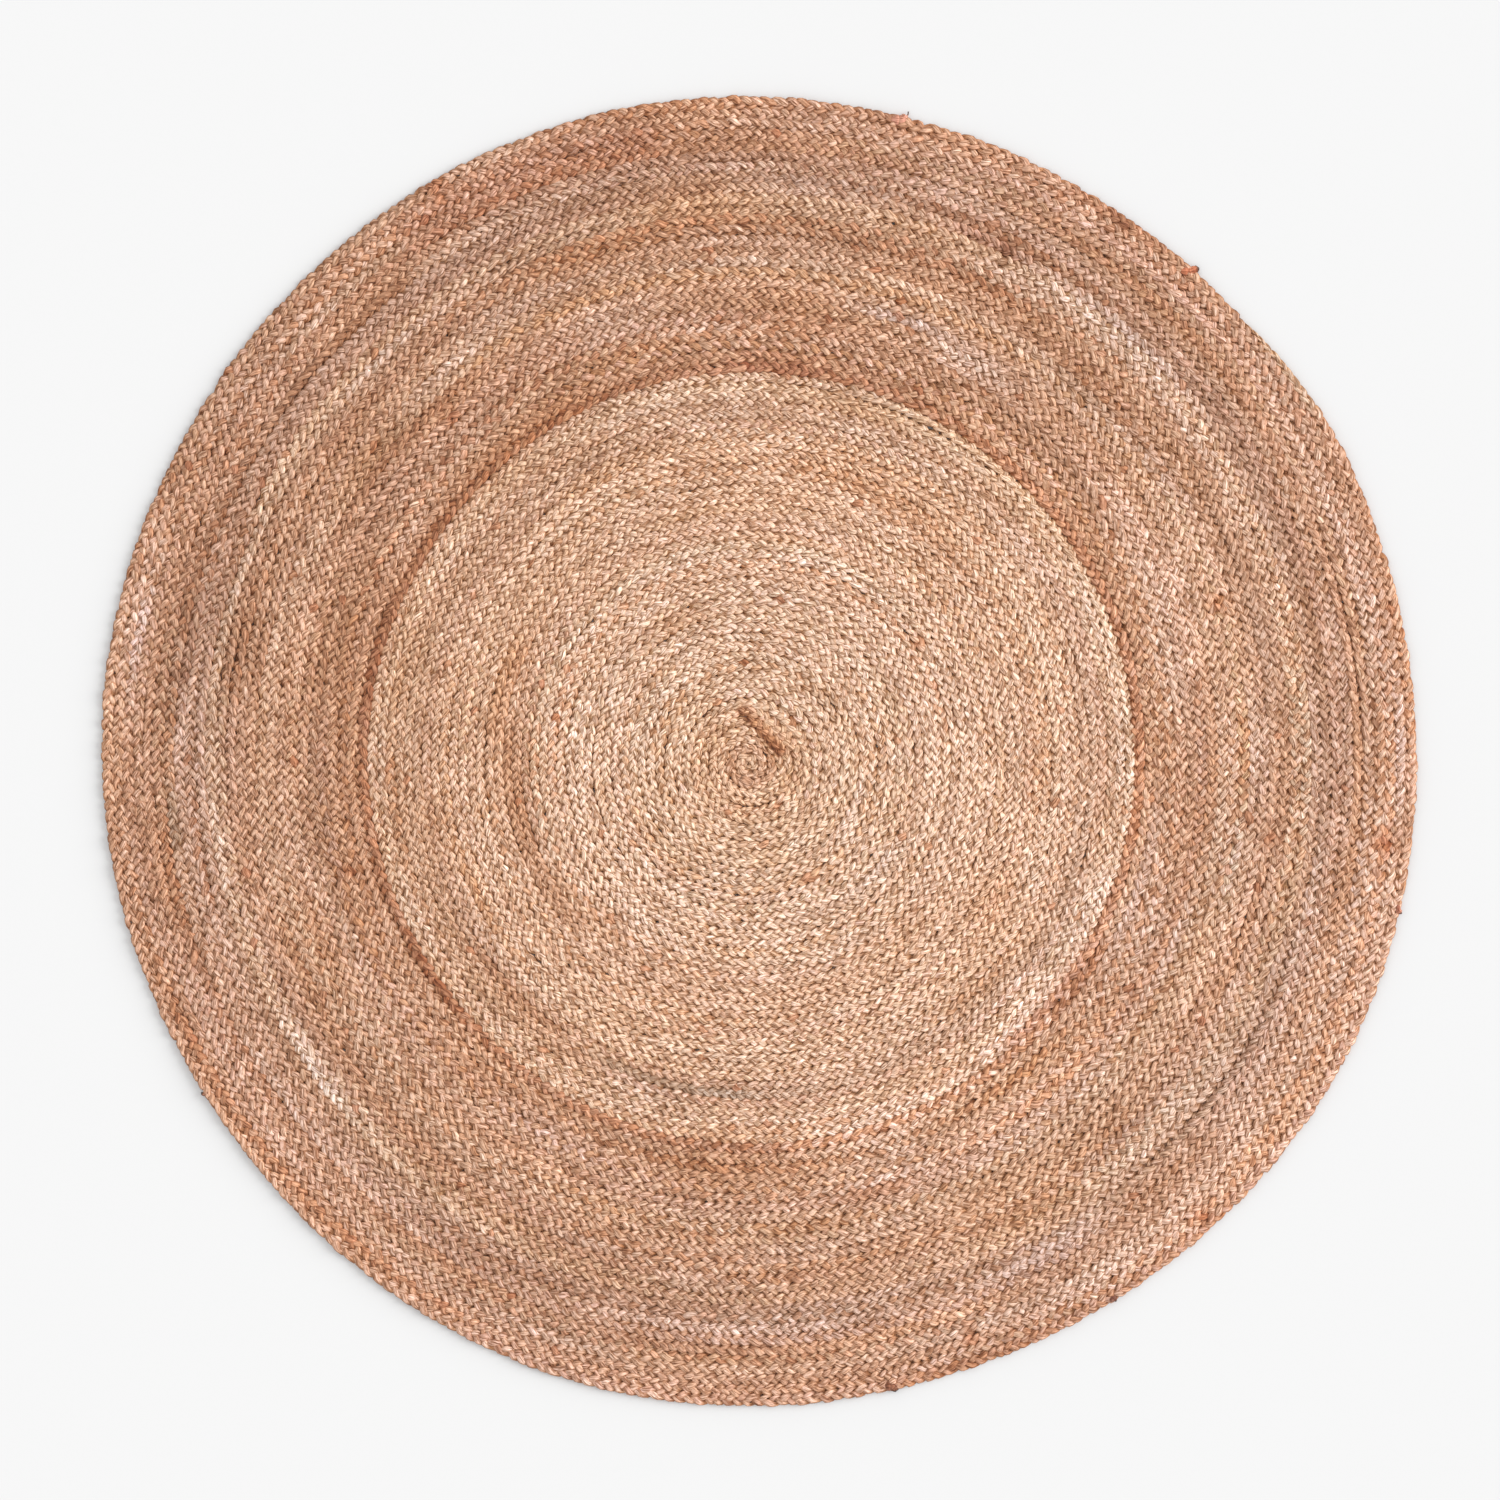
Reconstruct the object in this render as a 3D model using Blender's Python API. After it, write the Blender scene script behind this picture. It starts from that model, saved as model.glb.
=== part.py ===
"""A round area rug: one flat three-strand plait of jute, wound edge to edge in a spiral and sewn.

The plait is spliced from lengths of different fibre batches. Each length is a solid of its own:
the band that its turns cover, from its first turn's inner edge to its last turn's outer edge.
A length's end tapers against the next one, so the bands fit together as one spiral.
The seams between the bands are open grooves on the underside, where the sewing thread runs.

Metres, +Z up, underside at z = 0, origin at the middle of the rug's outline on the floor.
"""

import math

import bmesh
import bpy

# Driving dimensions.
RUG_RADIUS = 0.750            # mean radius of the outline
THICKNESS = 0.0085            # the plait lying flat
INNER_PITCH = 0.0104          # width of the plait in the middle of the rug
OUTER_PITCH = 0.0118          # width of the plait outside the rust-coloured ring
PITCH_CHANGE_RADIUS = 0.440
COIL_CENTRE = (-0.0116, -0.0148)   # the first turn lies off the middle of the outline
RIM_CENTRE = (-0.0018, 0.0023)     # middle of the outermost turns
TAIL_ANGLE = math.radians(30.0)    # where the plait starts to thin out on the rim
SEGMENTS = 60                 # straight steps in one turn
SCARF = 0.045                 # length of plait over which one end tapers against the next
GAP = 0.0003                  # clearance between pieces that touch
GROOVE = 0.0014               # how far a band's underside draws back from each seam

# Radius at which each length of plait ends, from the first one sewn to the start.
START_RADIUS = 0.032
LENGTH_END_RADII = (
    0.126, 0.183, 0.258, 0.315, 0.378, 0.4465, 0.459, 0.493,
    0.539, 0.579, 0.619, 0.642, 0.688, 0.720,
)

# The rim isn't a true circle: waves in one turn, height in metres, direction of a crest in degrees.
RIM_WAVES = (
    (2, 0.0022, -41.0),
    (3, 0.0016, -18.0),
    (4, 0.0013, -15.0),
    (5, 0.0022, -33.0),
)

# Sewing thread, a zigzag of waxed cord, as the strip that it covers in the groove.
THREAD_HALF_WIDTH = 0.0010
THREAD_LOW = 0.0006
THREAD_HIGH = 0.0022

# Knots where a new strand was tied in, standing out of the rim at these directions in degrees.
RIM_KNOT_ANGLES = (48.0, 77.0, 212.0, 282.0, 303.0, 346.0)
KNOT_LENGTH = 0.0090
KNOT_WIDTH = 0.0056
KNOT_HEIGHT = 0.0054

# The free end of the plait: its share of the full width, one step after another.
TAIL_WIDTHS = (0.80,)

TURN = 2.0 * math.pi
STEP = TURN / SEGMENTS
ROUNDING = 1e-9

# Colours of the fibre batches, and how rough they are.
PALE = (0.66, 0.43, 0.29)
SAND = (0.60, 0.38, 0.25)
RUST = (0.50, 0.25, 0.13)
TAN = (0.52, 0.31, 0.19)
MAUVE = (0.47, 0.28, 0.19)
STRAW = (0.58, 0.37, 0.26)
AMBER = (0.55, 0.31, 0.18)
TWINE = (0.62, 0.50, 0.36)
KNOT_BROWN = (0.35, 0.17, 0.09)
LENGTH_COLOURS = (
    PALE, PALE, SAND, PALE, SAND, PALE, RUST, TAN,
    TAN, STRAW, TAN, STRAW, MAUVE, MAUVE, AMBER,
)
FIBRE_ROUGHNESS = 0.82
SHARP_ANGLE = math.radians(40.0)


def clear_scene():
    for obj in list(bpy.data.objects):
        bpy.data.objects.remove(obj, do_unlink=True)


def turns_at(radius):
    """How many turns of plait lie inside this radius."""
    if radius <= PITCH_CHANGE_RADIUS:
        return radius / INNER_PITCH
    return PITCH_CHANGE_RADIUS / INNER_PITCH + (radius - PITCH_CHANGE_RADIUS) / OUTER_PITCH


def radius_at(turns):
    """Distance from the coil's centre to the outer edge of the plait, after this many turns."""
    change = PITCH_CHANGE_RADIUS / INNER_PITCH
    if turns <= change:
        return max(turns, 0.0) * INNER_PITCH
    return PITCH_CHANGE_RADIUS + (turns - change) * OUTER_PITCH


def last_turn():
    """The number of turns in the rug, whole and part, up to where the plait thins out."""
    whole = math.floor(turns_at(RUG_RADIUS + 0.5 * OUTER_PITCH))
    return whole + TAIL_ANGLE / TURN


def seam_turns():
    """Turn counts at which one length ends and the next begins, from the centre to the free end."""
    inner = [turns_at(START_RADIUS)] + [turns_at(radius) for radius in LENGTH_END_RADII]
    return inner + [last_turn()]


def plan_point(angle, radius, height):
    """A point of the coil, whose centre drifts outwards and whose rim is wavy."""
    share = min(radius / RUG_RADIUS, 1.0)
    wave = sum(high * math.cos(count * (angle - math.radians(crest))) for count, high, crest in RIM_WAVES)
    reach = radius + wave * share ** 2
    x = COIL_CENTRE[0] * (1.0 - share) + RIM_CENTRE[0] * share + reach * math.cos(angle)
    y = COIL_CENTRE[1] * (1.0 - share) + RIM_CENTRE[1] * share + reach * math.sin(angle)
    return (x, y, height)


def seam_radius(turns, angle):
    """Radius, at one direction, of the seam outside a length that ends at this turn count."""
    end_angle = (turns % 1.0) * TURN
    past = (angle - end_angle) % TURN
    if past > TURN - ROUNDING:
        past = 0.0
    inner = radius_at(turns - 1.0 + past / TURN)
    outer = radius_at(turns + past / TURN)
    taper = max(0.0, 1.0 - past * max(inner, 0.5 * INNER_PITCH) / SCARF)
    return inner + (outer - inner) * taper


def seam(turns, offset):
    """Radii of a seam at every step of a turn, moved out by an offset."""
    return [seam_radius(turns, index * STEP) + offset for index in range(SEGMENTS)]


def ring(radii, height):
    return [plan_point(index * STEP, radius, height) for index, radius in enumerate(radii)]


def skin(bm, loops):
    """Faces between closed loops of points, in order round a section."""
    verts = [[bm.verts.new(point) for point in loop] for loop in loops]
    for first, second in zip(verts, verts[1:] + verts[:1]):
        for index in range(SEGMENTS):
            after = (index + 1) % SEGMENTS
            bm.faces.new((first[index], first[after], second[after], second[index]))


def shade(obj):
    obj.data.shade_smooth()
    obj.data.set_sharp_from_angle(angle=SHARP_ANGLE)


def fibre_material(name, colour):
    material = bpy.data.materials.new(name)
    material.use_nodes = True
    shader = material.node_tree.nodes["Principled BSDF"]
    shader.inputs["Base Color"].default_value = (*colour, 1.0)
    shader.inputs["Roughness"].default_value = FIBRE_ROUGHNESS
    shader.inputs["Metallic"].default_value = 0.0
    material.diffuse_color = (*colour, 1.0)
    return material


def finish(name, bm, colour):
    """Puts a closed mesh in the scene, its faces outwards, with its own material."""
    bmesh.ops.recalc_face_normals(bm, faces=bm.faces)
    if bm.calc_volume(signed=True) < 0.0:
        bmesh.ops.reverse_faces(bm, faces=bm.faces)
    bmesh.ops.triangulate(bm, faces=bm.faces)
    mesh = bpy.data.meshes.new(name)
    bm.to_mesh(mesh)
    bm.free()
    obj = bpy.data.objects.new(name, mesh)
    obj.data.materials.append(fibre_material(name, colour))
    bpy.context.scene.collection.objects.link(obj)
    shade(obj)
    return obj


def plait_start(turns):
    """The first turns, which fill the middle."""
    bm = bmesh.new()
    under = [bm.verts.new(p) for p in ring(seam(turns, -0.5 * GAP - GROOVE), 0.0)]
    top = [bm.verts.new(p) for p in ring(seam(turns, -0.5 * GAP), THICKNESS)]
    for index in range(SEGMENTS):
        after = (index + 1) % SEGMENTS
        bm.faces.new((under[index], under[after], top[after], top[index]))
    for rim, height in ((under, 0.0), (top, THICKNESS)):
        middle = bm.verts.new(plan_point(0.0, 0.0, height))
        for index in range(SEGMENTS):
            bm.faces.new((rim[index], rim[(index + 1) % SEGMENTS], middle))
    return finish("plait_start", bm, SAND)


def plait_length(number, begin, end, colour):
    """One length of plait, as the band that its turns cover."""
    bm = bmesh.new()
    skin(bm, [
        ring(seam(begin, 0.5 * GAP + GROOVE), 0.0),
        ring(seam(end, -0.5 * GAP - GROOVE), 0.0),
        ring(seam(end, -0.5 * GAP), THICKNESS),
        ring(seam(begin, 0.5 * GAP), THICKNESS),
    ])
    return finish(f"plait_length_{number:02d}", bm, colour)


def seam_thread(number, turns):
    """The sewing thread in the groove under a seam."""
    bm = bmesh.new()
    skin(bm, [
        ring(seam(turns, -THREAD_HALF_WIDTH), THREAD_LOW),
        ring(seam(turns, THREAD_HALF_WIDTH), THREAD_LOW),
        ring(seam(turns, 0.0), THREAD_HIGH),
    ])
    return finish(f"seam_thread_{number:02d}", bm, TWINE)


def plait_end(turns):
    """The free end of the plait, which thins out against the rim."""
    first = math.ceil((turns % 1.0) * SEGMENTS)
    inner = []
    outer = []
    for step in range(len(TAIL_WIDTHS) + 2):
        angle = (first + step) * STEP
        base = seam_radius(turns, angle) + GAP
        width = 0.0
        if 0 < step <= len(TAIL_WIDTHS):
            width = TAIL_WIDTHS[step - 1] * OUTER_PITCH
        full = radius_at(turns + step * STEP / TURN - 1.0) + 0.5 * GAP
        inner.append((angle, base))
        if width:
            outer.append((angle, full + width))
    outline = inner + outer[::-1]
    bm = bmesh.new()
    under = [bm.verts.new(plan_point(angle, radius, 0.0)) for angle, radius in outline]
    top = [bm.verts.new(plan_point(angle, radius, THICKNESS)) for angle, radius in outline]
    bm.faces.new(under[::-1])
    bm.faces.new(top)
    for index in range(len(outline)):
        after = (index + 1) % len(outline)
        bm.faces.new((under[index], under[after], top[after], top[index]))
    return finish("plait_end", bm, STRAW)


def rim_knot(number, degrees, turns):
    """A knot of fibre that stands out of the rim, beside the last turn."""
    angle = math.radians(degrees)
    bm = bmesh.new()
    bmesh.ops.create_icosphere(bm, subdivisions=2, radius=0.5)
    near = round(angle / STEP)
    base = max(seam_radius(turns, (near + step) * STEP) for step in (-1, 0, 1))
    x, y, _ = plan_point(angle, base + GAP + 0.5 * KNOT_WIDTH, 0.0)
    for vert in bm.verts:
        out = vert.co.x * KNOT_WIDTH
        along = vert.co.y * KNOT_LENGTH
        high = vert.co.z * KNOT_HEIGHT
        vert.co.x = x + out * math.cos(angle) - along * math.sin(angle)
        vert.co.y = y + out * math.sin(angle) + along * math.cos(angle)
        vert.co.z = 0.5 * THICKNESS + high
    return finish(f"rim_knot_{number:02d}", bm, KNOT_BROWN)


def main():
    clear_scene()
    seams = seam_turns()
    plait_start(seams[0])
    for number, (begin, end) in enumerate(zip(seams, seams[1:]), start=1):
        plait_length(number, begin, end, LENGTH_COLOURS[number - 1])
        seam_thread(number, begin)
    plait_end(seams[-1])
    for number, degrees in enumerate(RIM_KNOT_ANGLES, start=1):
        rim_knot(number, degrees, seams[-1])


main()
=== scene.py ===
"""The looks of a round rug: one three-strand jute plait, coiled in a spiral and sewn edge to edge.

Every strand of the plait is modelled along its whole length, over and under its two neighbours.
The spiral's law is the one that the CAD solids were made with, so each strand lies in the band of
its own length of plait. Metres, +Z up.
"""

import math

import bpy
import numpy as np
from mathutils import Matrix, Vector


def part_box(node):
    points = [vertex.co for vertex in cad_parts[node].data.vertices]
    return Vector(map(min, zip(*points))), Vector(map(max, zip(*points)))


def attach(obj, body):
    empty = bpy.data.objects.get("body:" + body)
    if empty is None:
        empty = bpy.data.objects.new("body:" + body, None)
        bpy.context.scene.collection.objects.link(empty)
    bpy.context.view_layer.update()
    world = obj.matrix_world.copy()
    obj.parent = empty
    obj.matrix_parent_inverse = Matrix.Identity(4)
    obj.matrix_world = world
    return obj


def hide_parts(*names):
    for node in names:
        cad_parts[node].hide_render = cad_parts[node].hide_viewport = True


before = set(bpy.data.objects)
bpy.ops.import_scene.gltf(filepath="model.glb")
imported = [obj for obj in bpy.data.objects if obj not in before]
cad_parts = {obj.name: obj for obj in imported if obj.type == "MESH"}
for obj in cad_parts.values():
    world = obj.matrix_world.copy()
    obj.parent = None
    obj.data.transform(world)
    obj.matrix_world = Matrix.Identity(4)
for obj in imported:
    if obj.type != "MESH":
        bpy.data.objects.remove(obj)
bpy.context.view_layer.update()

TURN = 2.0 * math.pi
TINY = 1e-12

# The coil, as in the CAD model.
RUG_RADIUS = 0.750
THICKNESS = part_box("plait_length_01")[1].z
INNER_PITCH = 0.0104
OUTER_PITCH = 0.0118
PITCH_CHANGE_RADIUS = 0.440
COIL_CENTRE = (-0.0116, -0.0148)
RIM_CENTRE = (-0.0018, 0.0023)
TAIL_ANGLE = math.radians(30.0)
START_RADIUS = 0.032
LENGTH_END_RADII = (
    0.126, 0.183, 0.258, 0.315, 0.378, 0.4465, 0.459, 0.493,
    0.539, 0.579, 0.619, 0.642, 0.688, 0.720,
)
RIM_WAVES = (
    (2, 0.0022, -41.0),
    (3, 0.0016, -18.0),
    (4, 0.0013, -15.0),
    (5, 0.0022, -33.0),
)
RIM_KNOT_ANGLES = (48.0, 77.0, 212.0, 282.0, 303.0, 346.0)

# The plait. Some values are pairs: how much something varies, and over what distance.
NODES = (
    "plait_start",
    *(f"plait_length_{number:02d}" for number in range(1, len(LENGTH_END_RADII) + 2)),
    "plait_end",
)
STRANDS = 3
# At these radii: the length of one visible grain, a third of a strand's period, and a strand's reach
# sideways, as a share of the plait's half width.
PLAIT_RADII = (0.0, 0.060, 0.090, 0.400, 0.460)
GRAINS = (0.0085, 0.0092, 0.0109, 0.0109, 0.0118)
SWAYS = (0.580, 0.595, 0.610, 0.635, 0.725)
FIRST_TURN = 0.22             # the plait starts this far round its first turn
TAIL_TURNS = 12.0 / 360.0     # how far the free end runs on past the last seam
TAIL_THINNING = 0.7           # below 1, the free end stays wide and then thins quickly
COIL_POINTS = 60000
NUDGE = 1e-4                  # step in turns that gives the plait's direction
TIGHTNESS = (0.04, 0.35)      # how the plaiting's pace varies, slowly and quickly, and its limits
TUGS = (0.10, 0.025)
PACE_LIMITS = (0.7, 1.3)
BEDDING = 0.85                # how firmly a turn's grains bed into the turn inside it, 0 to 1
SPLICE = 0.030                # overlap of two lengths of plait, each one tapering
SPLICE_SIZE = 0.35            # share of a strand's size, sway and rise that is left at its tip
SPLICE_SWAY = 0.6
SPLICE_RISE = 0.5

# A strand.
SAMPLES = 12                  # points along it in one period
SIDES = 10                    # points round it
EDGE_TURN = 0.12              # how sharply it turns back at the plait's edge; at 0 it is a plain wave
LINGER = 0.05                 # how far it holds back where it lies on top or underneath, in radians
WIDE = 0.63                   # its half width, as a share of the plait's half width
PLUMP = 0.16                  # how much it swells where it lies on top or underneath
RISE = 0.24                   # its reach up and down, as a share of the plait's thickness
HIGH = 0.26                   # its half height, as the same share
NARROW_HIGH = 0.35            # share of its height that is left where the plait thins to nothing
FIBRE_TWIST = 60.0            # how fast the fibres wind round it, radians per metre
STRAND_OFFSET = 500.0         # distance in the fibre pattern between one strand and the next
UNEVEN_SWING = (0.20, 0.014)
UNEVEN_SIZE = (0.06, 0.05)
UNEVEN_SHADE = (0.05, 0.02)
SLOW_ROLL = (0.20, 0.30)      # the whole plait rolls about its own line, in radians
FAST_ROLL = (0.10, 0.05)
UNEVEN_SIDE = (0.05, 0.10)
# How much one grain differs from the next: its size, its place sideways and in height, its shade.
GRAIN_SIZE = 0.09
GRAIN_SIDE = 0.07
GRAIN_RISE = 0.032
GRAIN_SHADE = 0.06
NODULE_CHANCE = 0.004         # a few grains are hard brown lumps, larger by this share
NODULE_SIZE = 0.16
FLOOR_GAP = 0.0002
BAKE_UV = "OFBake"
MAP_ASPECT = 8.0              # a bake map has about this many times fewer rows than points in a row
MAP_EDGE = 0.002

# The inner turns were drawn straight on one side when the plait was joined on: how far, and where.
FLAT_DEPTH = 0.0100
FLAT_RADIUS = 0.043
FLAT_INSIDE = 0.014
FLAT_OUTSIDE = 0.026
FLAT_ANGLE = 43.0
FLAT_SHARPNESS = 6
# The groove along that side, from one end to the other, darkened by painted shade, and the rust-brown
# fibre beside it.
JOIN_FROM = (0.0264, -0.0085)
JOIN_TO = (-0.0260, 0.0506)
JOIN_LINE = 0.0022            # its half width and its depth
JOIN_DEPTH = 0.0015
JOIN_FADES = (0.08, 0.06)     # the share of its length over which each end fades
JOIN_SHALLOW = 0.6            # its strength half-way along
JOIN_NEXT = 0.0065            # a fainter groove at this distance, with its strength and its reach
JOIN_NEXT_DEEP = 0.5
JOIN_NEXT_REACH = 0.6
JOIN_BAND = 0.0120            # width of the rust-brown fibre, and how much it fades along the join
JOIN_BAND_FADE = 0.5

# The folded-over start of the plait.
FOLD_AT = (-0.0150, -0.0335)
FOLD_LENGTH = 0.0085
FOLD_WIDE = 0.0052
FOLD_HIGH = 0.46              # half height, as a share of the plait's thickness
FOLD_UP = 0.0016
FOLD_ANGLE = -25.0
FOLD_BLUNT = 2.5              # above 2, its ends are blunter than an ellipse's
FOLD_TIP = 0.1                # share of its thickness that its very ends keep
FOLD_PAINTED_SHADE = 0.35              # painted shade of its sides and underside
FOLD_COLOUR = (0.86, 0.74, 0.66)
FOLD_POINTS = 24
FOLD_SIDES = 16
FOLD_OFFSET = 3.0             # its place in the fibre pattern

# The sewing under the rug.
STITCH = 0.0045
STITCH_REACH = 0.0026
STITCH_JITTER = 0.0004
TWINE_RADIUS = 0.00035
TWINE_SIDES = 3
TWINE = (226, 208, 180)

# One row for each knot in the rim: the way its body lies and its loose end points, in degrees, its
# body's length, how far it stands out, its half thickness, the share of it that is thick, its colour.
KNOTS = (
    (3.0, 3.0, 0.0140, 0.0092, 0.0044, 0.98, (186, 108, 74)),
    (-13.0, 50.0, 0.0240, 0.0080, 0.0056, 0.72, (204, 138, 112)),
    (240.0, 150.0, 0.0080, 0.0050, 0.0021, 0.95, (140, 90, 66)),
    (12.0, 300.0, 0.0150, 0.0030, 0.0052, 0.97, (138, 84, 58)),
    (30.0, 300.0, 0.0090, 0.0020, 0.0028, 0.90, (120, 72, 54)),
    (250.0, 300.0, 0.0090, 0.0045, 0.0030, 0.90, (176, 110, 84)),
)
KNOT_INSIDE = 0.0035          # how far inwards from the CAD's knot the body lies, with this share of
KNOT_SUNK = 0.8               # its half thickness added, and from where its loose end is measured
KNOT_ROOT = 0.0025
KNOT_BACK = 0.6               # share of the body's length behind its middle, and ahead of it
KNOT_AHEAD = 0.3
KNOT_UP = 0.0012              # how far it stands above the plait, and its loose end drops
KNOT_DROP = 0.0020
KNOT_FLAT = 0.8               # height of the body over its width
KNOT_WAVER = (0.0003, 0.15)   # how far its line strays, and the share of it between two values
KNOT_START = 0.12             # share of its length over which it swells
KNOT_BLUNT = 12
KNOT_WINDS = 30.0             # the fibre wound round it: radians from end to end, depth and painted shade in its grooves
KNOT_WIND_DEPTH = 0.10
KNOT_WIND_PAINTED_SHADE = 0.8
KNOT_ROUGH = 0.04
KNOT_TIP = 0.76               # from here on it turns dark, painted shadow at its loose end, over this share of its length
KNOT_TIP_FADE = 0.10
KNOT_TIP_PAINTED_SHADOW = 0.14
LOOSE_END_RADIUS = 0.0007
KNOT_POINTS = 40
KNOT_SIDES = 12

# One row for each length of plait, from the start outwards: its slot, its colour from a distance as
# display values, how much its bundles of fibre differ, and how often a bundle is rust-brown.
BATCHES = (
    ("jute_sand", (205, 159, 129), 0.08, 0.10),
    ("jute_pale", (213, 172, 143), 0.08, 0.04),
    ("jute_pale", (216, 175, 148), 0.07, 0.02),
    ("jute_sand", (215, 174, 147), 0.07, 0.03),
    ("jute_pale", (212, 168, 139), 0.08, 0.05),
    ("jute_sand", (211, 167, 138), 0.08, 0.05),
    ("jute_pale", (206, 162, 134), 0.09, 0.04),
    ("jute_rust", (188, 134, 104), 0.15, 0.35),
    ("jute_tan", (194, 146, 116), 0.09, 0.10),
    ("jute_tan", (197, 150, 122), 0.09, 0.07),
    ("jute_straw", (197, 151, 122), 0.09, 0.07),
    ("jute_tan", (194, 147, 118), 0.09, 0.09),
    ("jute_straw", (201, 158, 130), 0.08, 0.03),
    ("jute_mauve", (189, 144, 119), 0.09, 0.07),
    ("jute_mauve", (195, 149, 122), 0.10, 0.08),
    ("jute_amber", (198, 150, 122), 0.09, 0.12),
    ("jute_straw", (214, 176, 150), 0.03, 0.0),
)
# A bundle of fibre: its spread and the most that it differs, its change of hue, the shape and scale
# of its random length, and the distance over which it gives way to the next.
BUNDLE_SPREAD = 0.9
BUNDLE_MOST = 1.5
BUNDLE_HUE = 0.012
BUNDLE_SHAPE = 1.5
BUNDLE_LENGTH = 0.22
BUNDLE_FADE = 0.03

# Colours, as what they do to the fibre's red, green and blue.
UNSHADED = (1.11, 1.24, 1.35)    # a fibre's own colour over its colour from a distance, painted and rendered shade of its creases and all
RUST = (0.92, 0.79, 0.67)
TAWNY = (0.95, 0.87, 0.79)
BROWN = (0.78, 0.66, 0.56)
PINK = (0.90, 0.80, 0.78)
GREY = (0.72, 0.76, 0.76)
GREENISH = (0.98, 1.04, 1.02)
RUSTY = (0.78, 0.54, 0.40)
BARK = (0.55, 0.42, 0.33)
DARKER = (0.92, 0.88, 0.84)
DULL = (0.93, 0.93, 0.93)
FRESH = (1.05, 1.08, 1.09)
LIGHT = (1.08, 1.13, 1.17)
NODULE = (0.80, 0.60, 0.48)
# painted shade in the join's groove, then the rust-brown fibre beside it
JOIN_PAINTED_SHADE = (0.25, 0.12, 0.06)
JOIN_RUST = (0.94, 0.72, 0.59)
# How fast the three change together as jute darkens, as it turns rusty, and in the painted shade of a
# crease.
DEEPER = (0.70, 1.00, 1.33)
RUSTIER = (0.10, 0.60, 1.30)
PAINTED_SHADE_CHANNELS = (0.64, 1.18, 2.00)
PAINTED_CREASE_SHADE = 0.60                 # painted shade of the fibre deep between two grains, at half the plait's height
PAINTED_CREASE_RISE = (0.05, 0.50)    # where it starts to give way, on the way up from there, and over how much
PAINTED_SIDE_SHADE = 0.20                   # painted shade of a strand's sides, where it lies against its neighbours
PAINTED_SIDE_FADE = 0.38

# Turns that are stained or fresh all the way round: radius, width and colour.
RINGS = (
    (0.004, 0.012, GREENISH), (0.047, 0.034, TAWNY), (0.340, 0.022, FRESH), (0.389, 0.008, DULL),
    (0.422, 0.026, FRESH), (0.5535, 0.016, FRESH), (0.638, 0.016, FRESH), (0.6555, 0.008, DULL),
    (0.674, 0.012, FRESH), (0.690, 0.012, TAWNY),
)
# The same along part of a turn: radius and width, first and last direction, and colour.
ARCS = (
    (0.178, 0.020, 100, 130, TAWNY), (0.190, 0.025, 138, 225, LIGHT),
    (0.277, 0.010, 168, 228, BROWN), (0.296, 0.014, 150, 178, RUST), (0.321, 0.045, 320, 338, TAWNY),
    (0.344, 0.028, 45, 86, TAWNY), (0.384, 0.007, 212, 238, BROWN), (0.390, 0.007, 240, 272, GREY),
    (0.450, 0.014, 78, 95, PINK), (0.450, 0.008, 138, 176, BROWN), (0.447, 0.009, 203, 223, BROWN),
    (0.455, 0.030, 275, 325, LIGHT), (0.475, 0.022, 0, 36, LIGHT), (0.521, 0.008, 280, 292, RUST),
    (0.539, 0.009, 124, 155, BROWN), (0.575, 0.008, 198, 218, RUST), (0.645, 0.010, 60, 71, PINK),
    (0.659, 0.006, 0, 75, BROWN), (0.670, 0.007, 125, 170, BROWN), (0.675, 0.009, 182, 191, GREY),
    (0.710, 0.034, 98, 126, PINK), (0.715, 0.034, 300, 358, LIGHT), (0.747, 0.012, 50, 62, RUSTY),
    (0.453, 0.010, 10, 205, TAWNY), (0.453, 0.012, 226, 322, LIGHT), (0.690, 0.018, 72, 146, DARKER),
    (0.640, 0.030, 92, 146, DARKER), (0.710, 0.018, 36, 92, DARKER), (0.492, 0.018, 112, 232, DARKER),
    (0.605, 0.022, 338, 396, DARKER), (0.272, 0.022, 152, 208, DARKER), (0.390, 0.022, 196, 262, DARKER),
    (0.605, 0.024, 200, 272, DARKER), (0.746, 0.014, 342, 366, DARKER), (0.270, 0.022, 350, 420, LIGHT),
    (0.432, 0.022, 330, 436, FRESH), (0.470, 0.018, 276, 318, FRESH), (0.655, 0.020, 286, 352, LIGHT),
    (0.400, 0.030, 8, 32, DARKER), (0.410, 0.018, 325, 352, LIGHT), (0.430, 0.016, 350, 430, FRESH),
    (0.535, 0.040, 296, 350, LIGHT), (0.590, 0.040, 290, 312, LIGHT), (0.630, 0.014, 210, 252, LIGHT),
    (0.690, 0.014, 72, 136, DARKER), (0.690, 0.014, 190, 222, DARKER),
)
# Single dark or rusty places: radius, direction, half size and colour.
SPOTS = (
    (0.559, 18.0, 0.010, RUSTY), (0.666, 172.5, 0.009, BARK), (0.599, 350.5, 0.007, RUSTY),
    (0.724, 351.5, 0.014, RUSTY), (0.661, 318.3, 0.006, BARK), (0.609, 274.2, 0.007, BARK),
    (0.735, 313.6, 0.010, RUSTY), (0.718, 290.0, 0.009, RUSTY), (0.644, 63.4, 0.008, BARK),
    (0.742, 119.7, 0.012, RUSTY), (0.746, 55.5, 0.012, BARK), (0.697, 301.0, 0.008, BARK),
    (0.520, 132.0, 0.007, RUSTY), (0.486, 196.0, 0.007, RUSTY), (0.236, 35.0, 0.006, RUSTY),
)
STAIN_WIDTH = 0.6             # share of a stain's width at which about a third of it is left
ARC_FADE = 0.03               # distance over which an arc's ends fade
# Random patches: seed, degrees round and width across, how strong, and what they do to the colour.
PATCHES = (
    (11, 24.0, 0.030, 0.080, DEEPER),
    (12, 7.0, 0.012, 0.075, DEEPER),
    (13, 12.0, 0.016, 0.075, RUSTIER),
)
PATCH_REACH = 0.9             # radius that they cover
PATCH_INSIDE = 0.5            # their strength in the middle of the rug
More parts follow.
